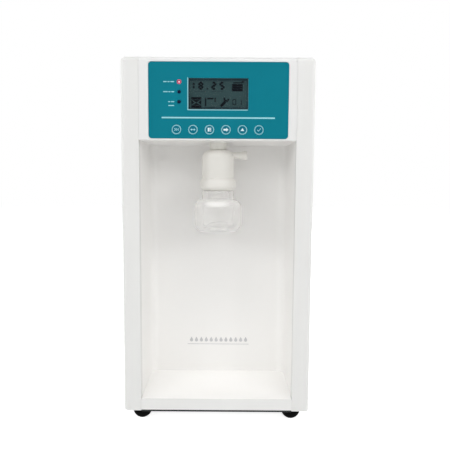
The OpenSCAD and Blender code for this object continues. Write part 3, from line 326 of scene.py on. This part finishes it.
surface("capsule_plastic", srgb(232, 230, 224), 0.34, mottle=(20, 0.02), grain=(900, 0.05))
surface("membrane_fleece", srgb(236, 234, 222), 0.9, spec=0.2, mottle=(300, 0.08),
        grain=(1500, 0.5), sheen=0.3)
# the filling bell: clear, with a painted highlight on the shoulder that faces up and to the front
clear_wall("bell_clear", (0.96, 0.95, 0.93), (0.16, 0.7), 0.12, uneven=0.01,
           painted_highlight=((-0.05, -0.78, 0.62), 0.7, 0.97, 0.48))
clear_wall("clear_window", (0.3, 0.34, 0.35), (0.004, 0.2), 0.06, ior=1.15, uneven=0.002)

for part in frame["record"]["subparts"]:
    node = nodes[part["node"]]
    node.data.materials.clear()
    node.data.materials.append(materials[part["material_slot"]])

# finishes of the pieces below
# pale, nearly opaque white for the bell's rim: a painted highlight
clear_wall("bell_rim_highlight", (0.99, 0.98, 0.97), (0.85, 1.0), 0.25)
# pale print, also used for the painted highlight along the window's edges
surface("light_print_and_highlight", CYAN, 0.5, spec=0.2, mottle=(60, 0.03), grain=(1500, 0.08))
surface("print_white", srgb(226, 244, 246), 0.5, spec=0.2, mottle=(60, 0.02), grain=(1500, 0.08))
surface("segment_dark", srgb(8, 12, 20), 0.6, spec=0.03, mottle=(150, 0.1), grain=(1500, 0.05))
surface("segment_pale", srgb(38, 54, 58), 0.6, spec=0.05, mottle=(150, 0.1), grain=(1500, 0.05))
surface("wall_print", srgb(204, 204, 206), 0.45, mottle=(60, 0.05), grain=(1500, 0.05))
surface("label_blue", srgb(36, 104, 150), 0.45, mottle=(40, 0.04), grain=(1200, 0.06))
# painted shade for the screws' cross recesses
surface("painted_recess_shade", srgb(60, 60, 62), 0.5, metal=0.6, mottle=(200, 0.1), grain=(1500, 0.1))


# ------------------------------------------------- outlines
def turns(steps):
    """The angles of that many even steps round a circle."""
    return [i * math.tau / steps for i in range(steps)]


def circle(x, z, r, steps=32):
    return [(x + r * math.cos(a), z + r * math.sin(a)) for a in turns(steps)]


def bar(x, z, w, h, r=0.0):
    """A bar centred on (x, z), with round corners where r is given."""
    corners = ((1, -1, -90), (1, 1, 0), (-1, 1, 90), (-1, -1, 180))  # side, side, first angle
    if r <= 0:
        return [(x + cx * w / 2, z + cz * h / 2) for cx, cz, _ in corners]
    points = []
    for cx, cz, start in corners:
        for i in range(5):
            a = math.radians(start + i * 22.5)
            points.append((x + cx * (w / 2 - r) + r * math.cos(a),
                           z + cz * (h / 2 - r) + r * math.sin(a)))
    return points


def stroke(points, width):
    """An open line of that width, with mitred corners."""
    left, right = [], []
    last = len(points) - 1
    for i, p in enumerate(points):
        before = Vector(p) - Vector(points[i - 1]) if i > 0 else None
        after = Vector(points[i + 1]) - Vector(p) if i < last else None
        a = (before or after).normalized()
        b = (after or before).normalized()
        n = Vector((-(a + b).y, (a + b).x)).normalized()
        reach = width / 2 / max(0.4, n.dot(Vector((-a.y, a.x))))
        left.append((p[0] + n.x * reach, p[1] + n.y * reach))
        right.append((p[0] - n.x * reach, p[1] - n.y * reach))
    return left + right[::-1]


def drop(x, z, h):
    """A water drop of height h, its round end down."""
    r = h * 0.32
    points = [(x, z + h / 2)]
    for i in range(19):
        a = math.radians(30 - i * 240 / 18)
        points.append((x + r * math.cos(a), z - h / 2 + r + r * math.sin(a)))
    return points


SEGMENTS = {"0": "abcdef", "1": "bc", "2": "abged", "3": "abgcd", "5": "afgcd", "8": "abcdefg"}


def digit(value, x, z, w, h, t):
    """The bars, t thick, of a seven-segment digit centred on (x, z)."""
    gap, taper = t * 0.12, t * 0.2
    side, top = (w - t) / 2, (h - t) / 2
    places = {"a": (0, top), "g": (0, 0), "d": (0, -top), "f": (-side, top / 2),
              "b": (side, top / 2), "e": (-side, -top / 2), "c": (side, -top / 2)}
    shapes = []
    for name in SEGMENTS[value]:
        dx, dz = places[name]
        half = (top if dx else w - t) / 2 - gap
        flat = [(-half, 0), (-half + taper, -t / 2), (half - taper, -t / 2), (half, 0),
                (half - taper, t / 2), (-half + taper, t / 2)]
        shapes.append([(x + dx + (b if dx else a), z + dz + (a if dx else b)) for a, b in flat])
    return shapes


def shifted(outlines, dx, dz):
    return [[(x + dx, z + dz) for x, z in line] for line in outlines]


# ------------------------------------------------- pieces
def place(name, mesh, material):
    mesh.materials.append(material)
    obj = bpy.data.objects.new(name, mesh)
    bpy.context.scene.collection.objects.link(obj)
    return obj


def piece(name, bm, material, body):
    """Turns a mesh into an object that rides on a body."""
    bmesh.ops.recalc_face_normals(bm, faces=bm.faces)
    mesh = bpy.data.meshes.new(name)
    bm.to_mesh(mesh)
    bm.free()
    obj = place(name, mesh, materials[material])
    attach(obj, body)


def skin(bm, rows, closed=False):
    """Joins each ring of points to the next one, and where closed the last to the first."""
    count = len(rows[0])
    for i in range(len(rows) if closed else len(rows) - 1):
        row, following = rows[i], rows[(i + 1) % len(rows)]
        for k in range(count):
            j = (k + 1) % count
            bm.faces.new((row[k], following[k], following[j], row[j]))


def ring(bm, outline, y):
    return [bm.verts.new(at(x, y, z)) for x, z in outline]


def printed(name, outlines, depths, material, body="cabinet", bands=()):
    """A piece of thin slabs between two depths; a band is the strip between two outlines."""
    front, back = depths
    bm = bmesh.new()
    for line in outlines:
        rows = [ring(bm, line, front), ring(bm, line, back)]
        bm.faces.new(rows[0])
        bm.faces.new(rows[1][::-1])
        skin(bm, rows)
    for outer, inner in bands:
        skin(bm, [ring(bm, outer, back), ring(bm, outer, front), ring(bm, inner, front),
                  ring(bm, inner, back)], closed=True)
    piece(name, bm, material, body)


# overlay print; bars stand for the words beside the lamps
marks = []
for z, words in ((LAMP_Z[2], (5.0, 3.2, 5.4)), (LAMP_Z[1], (6.6, 3.0, 4.2)),
                 (LAMP_Z[0], (3.0, 4.6)), (LAMP_Z[0] - 5.4, (8.4,))):
    x = LAMP_X - 7.2
    for w in words[::-1]:
        marks.append(bar(x - w / 2, z, w, 1.3, 0.5))
        x -= w + 1.0
divider = bar(0.75, HEADER_Z + 32.0, 164.5, 2.0, 0.8)
printed("overlay_divider", [divider], FILM_PRINT, "light_print_and_highlight")
printed("lamp_marks", marks, (0.34, 0.41), "light_print_and_highlight")

# a painted highlight along the window's left and lower edges, where the recess edge catches the
# light, cut on a slant at its two ends
wx, wz, ww, wh = WINDOW
edge_x, edge_z = wx - ww / 2 - 0.35, wz - wh / 2 - 0.35
end_x, end_z = wx + ww / 2, wz + wh / 2
printed("window_outline", [[
    (edge_x, end_z + 0.4), (edge_x - 1.0, end_z + 1.0), (edge_x - 1.0, edge_z),
    (edge_x - 0.6, edge_z - 0.7), (edge_x, edge_z - 1.0), (end_x + 0.2, edge_z - 1.0),
    (end_x - 0.6, edge_z), (edge_x + 0.3, edge_z), (edge_x, edge_z + 0.3)]],
    (0.3, 0.41), "light_print_and_highlight")
printed("window_mask", [], (0.45, 0.55), "segment_pale",
        bands=[(bar(wx, wz, ww - 0.6, wh - 0.6), bar(wx, wz, ww - 3.4, wh - 3.4))])
printed("lamp_rings", [], FILM_PRINT, "key_film",
        bands=[(circle(LAMP_X, z, 3.5), circle(LAMP_X, z, 2.6)) for z in LAMP_Z])
printed("lamp_glow", [], (0.32, 0.42), "lamp_red",
        bands=[(circle(LAMP_X, LAMP_Z[2], 3.3), circle(LAMP_X, LAMP_Z[2], 2.55))])

# pale strips that close the seams beside the header and the sill
SEAM_X, SEAM_W = 114.75, 0.44
printed("seam_strips", [bar(side * SEAM_X, z, SEAM_W, h) for side in (-1, 1)
                        for z, h in ((HEADER_Z + 56.0, 111.0), (9.0, 17.0))],
        (0.45, 1.6), "header_plastic")

# keys, from left to right: a light ring and an icon, drawn round (0, 0), on each cap
ICONS = {
    "circulate": [stroke([(-3.1, 1.9), (-1.1, 0), (-3.1, -1.9)], 0.8),
                  stroke([(-0.7, 1.9), (1.3, 0), (-0.7, -1.9)], 0.8), bar(2.7, 0, 0.8, 3.9, 0.3)],
    "shift": [[(-3.7, 0), (-1.5, -1.8), (-1.5, -0.5), (1.5, -0.5), (1.5, -1.8),
               (3.7, 0), (1.5, 1.8), (1.5, 0.5), (-1.5, 0.5), (-1.5, 1.8)]],
    "menu": [bar(-1.2, 0, 2.6, 5.4, 0.4)] + [bar(1.6, z, 2.0, 1.2, 0.3) for z in (-2.0, 0.0, 2.0)],
    "dispense": [[(-3.6, -1.3), (0.4, -1.3), (0.4, -2.8), (3.8, 0), (0.4, 2.8), (0.4, 1.3),
                  (-3.6, 1.3)]],
    "up": [[(-2.7, -1.6), (2.7, -1.6), (0, 2.6)]],
    "confirm": [stroke([(-2.6, 0.2), (-0.7, -1.8), (2.8, 2.2)], 0.9)],
}
BOLD_ICONS = ("menu", "dispense", "up")
KEY_RING = (6.5, 5.55)
for i, (key, icon) in enumerate(ICONS.items()):
    x = (i - (len(ICONS) - 1) / 2) * KEY_PITCH
    ink = "print_white" if key in BOLD_ICONS else "light_print_and_highlight"
    body = key + "_key"
    printed("key_icon_" + key, shifted(icon, x, KEY_Z), KEY_PRINT, ink, body)
    printed("key_ring_" + key, [], KEY_PRINT, "light_print_and_highlight", body,
            bands=[[circle(x, KEY_Z, r, 48) for r in KEY_RING]])

# display, drawn round the window's centre: numbers and a tank level over four symbols
readout = []
for value, x in (("1", -38.0), ("8", -25.4), ("2", -6.6), ("5", 5.2)):
    readout += digit(value, x, 11.6, 7.6, 11.4, 2.9)
readout.append(bar(-16.0, 7.2, 2.0, 2.0, 0.6))
readout += [bar(28.0, 15.9, 13.0, 1.5, 0.3), bar(35.2, 17.4, 3.0, 2.4, 0.4)]
readout += [bar(27.4, z, 15.6, 3.3, 0.3) for z in (12.6, 9.1, 5.6)]
cartridge = [bar(0, 5.8, 14.6, 3.4, 0.4), bar(0, -5.8, 14.6, 3.4, 0.4),
             [(-7.2, 3.6), (-3.0, 0), (-7.2, -3.6)], [(7.2, -3.6), (3.0, 0), (7.2, 3.6)],
             [(-5.4, 3.6), (5.4, 3.6), (0, -0.2)], [(-5.4, -3.6), (0, -0.6), (5.4, -3.6)]]
tank = [bar(0.4, 5.4, 9.4, 2.4, 0.4), bar(-6.4, 0.6, 2.0, 12.0, 0.4), bar(7.4, 3.6, 1.8, 6.0, 0.4)]
wrench = [stroke([(-4.8, -6.2), (1.4, 0.6)], 3.8),
          stroke([(-0.2, 6.0), (0.6, 2.2), (4.4, 1.4), (6.6, 4.4)], 2.3)]
readout += shifted(cartridge, -31.9, -12.2) + shifted(tank, -12.0, -12.0)
readout += shifted(wrench, 8.6, -11.4)
for value, x in (("0", 23.2), ("1", 31.2)):
    readout += digit(value, x, -11.6, 5.4, 8.4, 1.1)
printed("display_readout", shifted(readout, wx, wz), DISPLAY_PRINT, "segment_dark")
faint = [bar(start + i * 4.4, 3.6, 3.4, 0.8) for start in (-32.6, -8.2) for i in range(4)]
faint += [bar(x, -19.3, w, 0.9)
          for x, w in ((-31.9, 13.6), (-12.0, 15.0), (8.6, 13.0), (27.4, 12.0))]
printed("display_faint", shifted(faint, wx, wz), DISPLAY_PRINT, "segment_pale")

# a pale, nearly opaque ring round the filling bell's lower edge: a painted highlight for the bright
# line along its rim
RIM_R, BEAD_R, BEAD_LIFT = 28.7, 1.5, 1.0
bm = bmesh.new()
rows = []
for a in turns(72):
    rows.append([])
    for b in turns(10):
        r, z = RIM_R + BEAD_R * math.cos(b), BELL_LOW + BEAD_LIFT + BEAD_R * math.sin(b)
        rows[-1].append(bm.verts.new(at(r * math.cos(a), CAPSULE_Y + r * math.sin(a), z)))
skin(bm, rows, closed=True)
for face in bm.faces:
    face.smooth = True
piece("bell_rim_bead", bm, "bell_rim_highlight", "capsule")

# a rule and a plain row of drops on the bay's back wall
RULE = bar(0.5, 65.4, 107.0, 0.9, 0.4)
printed("bay_rule", [RULE], BAY_PRINT, "wall_print")
printed("bay_drops", [drop(-46.0 + i * 8.6, 74.0, 8.8) for i in range(12)], BAY_PRINT,
        "wall_print")


# screw recesses, rear and left side: dark crosses of painted shade
def cross(bm, centre, u, v, out):
    """A dark cross-shaped mark on a screw head, painted shade for its recess, with arms along u and
    v, and out away from the head.
    """
    half_length, half_width, sunk = 2.0 / 1000, 0.35 / 1000, 0.2 / 1000
    for along, across, proud in ((u, v, 0.03 / 1000), (v, u, 0.039 / 1000)):
        corners = [centre + along * s * half_length + across * t * half_width
                   for s, t in ((-1, -1), (1, -1), (1, 1), (-1, 1))]
        low = [bm.verts.new(c - out * sunk) for c in corners]
        top = [bm.verts.new(c + out * proud) for c in corners]
        bm.faces.new(top)
        skin(bm, [low, top])


X, Y, Z = (Vector(v) for v in ((1, 0, 0), (0, 1, 0), (0, 0, 1)))
REAR_HEAD_Y = DEPTH + 1.8
bm = bmesh.new()
for x in (-117.5, 117.5):
    for z in (30.0, 488.5):
        cross(bm, at(x, REAR_HEAD_Y, z), X, Z, Y)
for y in (22.0, 410.5):
    for z in (60.0, 264.0, 468.0):
        cross(bm, at(-HALF_W, y, z), Y, Z, -X)
piece("screw_recesses", bm, "painted_recess_shade", "cabinet")


# cartridge labels: a curved band and a stage number, facing the door
def wrapped(bm, x0, x1, z0, z1, cy, steps):
    """A thin patch on a cartridge; x0 and x1 are arc lengths from the side that faces the door."""
    outer, inner = CART_R + 0.1, CART_R - 0.05
    rows = []
    for i in range(steps + 1):
        a = (x0 + (x1 - x0) * i / steps) / CART_R
        rows.append([bm.verts.new(at(CART_X + r * math.cos(a), cy + r * math.sin(a), z))
                     for r, z in ((outer, z0), (outer, z1), (inner, z1), (inner, z0))])
    skin(bm, rows)
    bm.faces.new(rows[0])
    bm.faces.new(rows[-1][::-1])


BAND_HALF = 46
for number, cy in zip("123", CART_Y):
    bm = bmesh.new()
    for low, high in ((186, 196), (236, 238)):
        wrapped(bm, -BAND_HALF, BAND_HALF, low, high, cy, 30)
    piece("cartridge_band_" + number, bm, "label_blue", "cabinet")
    bm = bmesh.new()
    for shape in digit(number, 0, 217, 14, 26, 4.0):
        xs, zs = [p[0] for p in shape], [p[1] for p in shape]
        wrapped(bm, min(xs), max(xs), min(zs), max(zs), cy, 8)
    piece("cartridge_number_" + number, bm, "label_blue", "cabinet")

# ------------------------------------------------- floor, light and camera
# the floor and the room are white to the camera and through clear walls, and light the object
# at a plain level
FLOOR_GREY, FLOOR_GLOW, FLOOR_HALF = 0.8, 0.85, 6.0
ROOM_LIGHT, ROOM_GLOSS = 0.14, 0.75
floor_mat = bpy.data.materials.new("floor")
graph = Graph(floor_mat)
matte = graph.new("ShaderNodeBsdfDiffuse")
graph.put((FLOOR_GREY,) * 3, matte.inputs["Color"])
glow = graph.new("ShaderNodeEmission")
graph.put(graph.math("MULTIPLY", graph.backdrop_rays(1.0), FLOOR_GLOW), glow.inputs["Strength"])
add = graph.new("ShaderNodeAddShader")
graph.put(matte.outputs[0], add.inputs[0])
graph.put(glow.outputs[0], add.inputs[1])
graph.put(add.outputs[0], graph.new("ShaderNodeOutputMaterial").inputs["Surface"])

mesh = bpy.data.meshes.new("floor")
mesh.from_pydata([(sx * FLOOR_HALF, sy * FLOOR_HALF, 0)
                  for sx, sy in ((-1, -1), (1, -1), (1, 1), (-1, 1))], [], [(0, 1, 2, 3)])
floor = place("floor", mesh, floor_mat)

world = bpy.data.worlds.new("studio")
bpy.context.scene.world = world
graph = Graph(world)
mix = graph.new("ShaderNodeMixShader")
graph.put(graph.backdrop_rays(ROOM_GLOSS), mix.inputs[0])
for i, strength in ((1, ROOM_LIGHT), (2, 1.0)):
    white = graph.new("ShaderNodeBackground")
    graph.put((1, 1, 1), white.inputs["Color"])
    graph.put(strength, white.inputs["Strength"])
    graph.put(white.outputs[0], mix.inputs[i])
graph.put(mix.outputs[0], graph.new("ShaderNodeOutputWorld").inputs["Surface"])


def lamp(name, place, target, size, power):
    """A soft box lamp: place, target and size in metres, power in watts."""
    light = bpy.data.lights.new(name, "AREA")
    light.shape = "RECTANGLE"
    light.size, light.size_y = size
    light.energy = power
    obj = bpy.data.objects.new(name, light)
    bpy.context.scene.collection.objects.link(obj)
    obj.location = place
    aim = Vector(target) - Vector(place)
    obj.rotation_euler = aim.to_track_quat("-Z", "Y").to_euler()


lamp("key_light", (0, -3.2, 1.5), (0, 0, 0.27), (3.0, 1.0), 13.5)
lamp("key_left", (-2.3, -2.3, 1.4), (0, -0.1, 0.27), (1.6, 1.0), 24.5)
lamp("key_right", (2.3, -2.3, 1.4), (0, -0.1, 0.27), (1.6, 1.0), 24.5)
lamp("top_light", (0, -2.3, 4.8), (0, 0, 0.2), (4.2, 2.0), 101)
lamp("left_fill", (-2.6, 0.3, 1.2), (0, 0, 0.3), (1.8, 1.6), 22)
lamp("right_fill", (2.6, 0.3, 1.2), (0, 0, 0.3), (1.8, 1.6), 22)
lamp("rear_fill", (0.2, 2.6, 1.3), (0, 0, 0.3), (2.4, 1.6), 32)

# the photograph's camera, as fitted to its lines; angles in radians
PITCH, ROLL, YAW = 0.09075, 0.00621, -0.00155
FOCAL_PX, PHOTO_PX, SENSOR_MM = 482.896, 450, 36
CAMERA_AT = at(12.597, -711.172, 349.771)
forward = Vector((math.sin(YAW) * math.cos(PITCH), math.cos(YAW) * math.cos(PITCH),
                  -math.sin(PITCH)))
right = Vector((math.cos(YAW), -math.sin(YAW), 0))
up = right.cross(forward)
turn = Matrix((right, up, -forward)).transposed() @ Matrix.Rotation(ROLL, 3, "Z")
camera_data = bpy.data.cameras.new("camera")
camera_data.sensor_fit = "HORIZONTAL"
camera_data.sensor_width = SENSOR_MM
camera_data.lens = FOCAL_PX / PHOTO_PX * SENSOR_MM
camera_data.clip_start = 0.05
camera = bpy.data.objects.new("camera", camera_data)
camera.matrix_world = Matrix.Translation(CAMERA_AT) @ turn.to_4x4()
bpy.context.scene.collection.objects.link(camera)
bpy.context.scene.camera = camera
bpy.context.scene.view_settings.view_transform = "Standard"
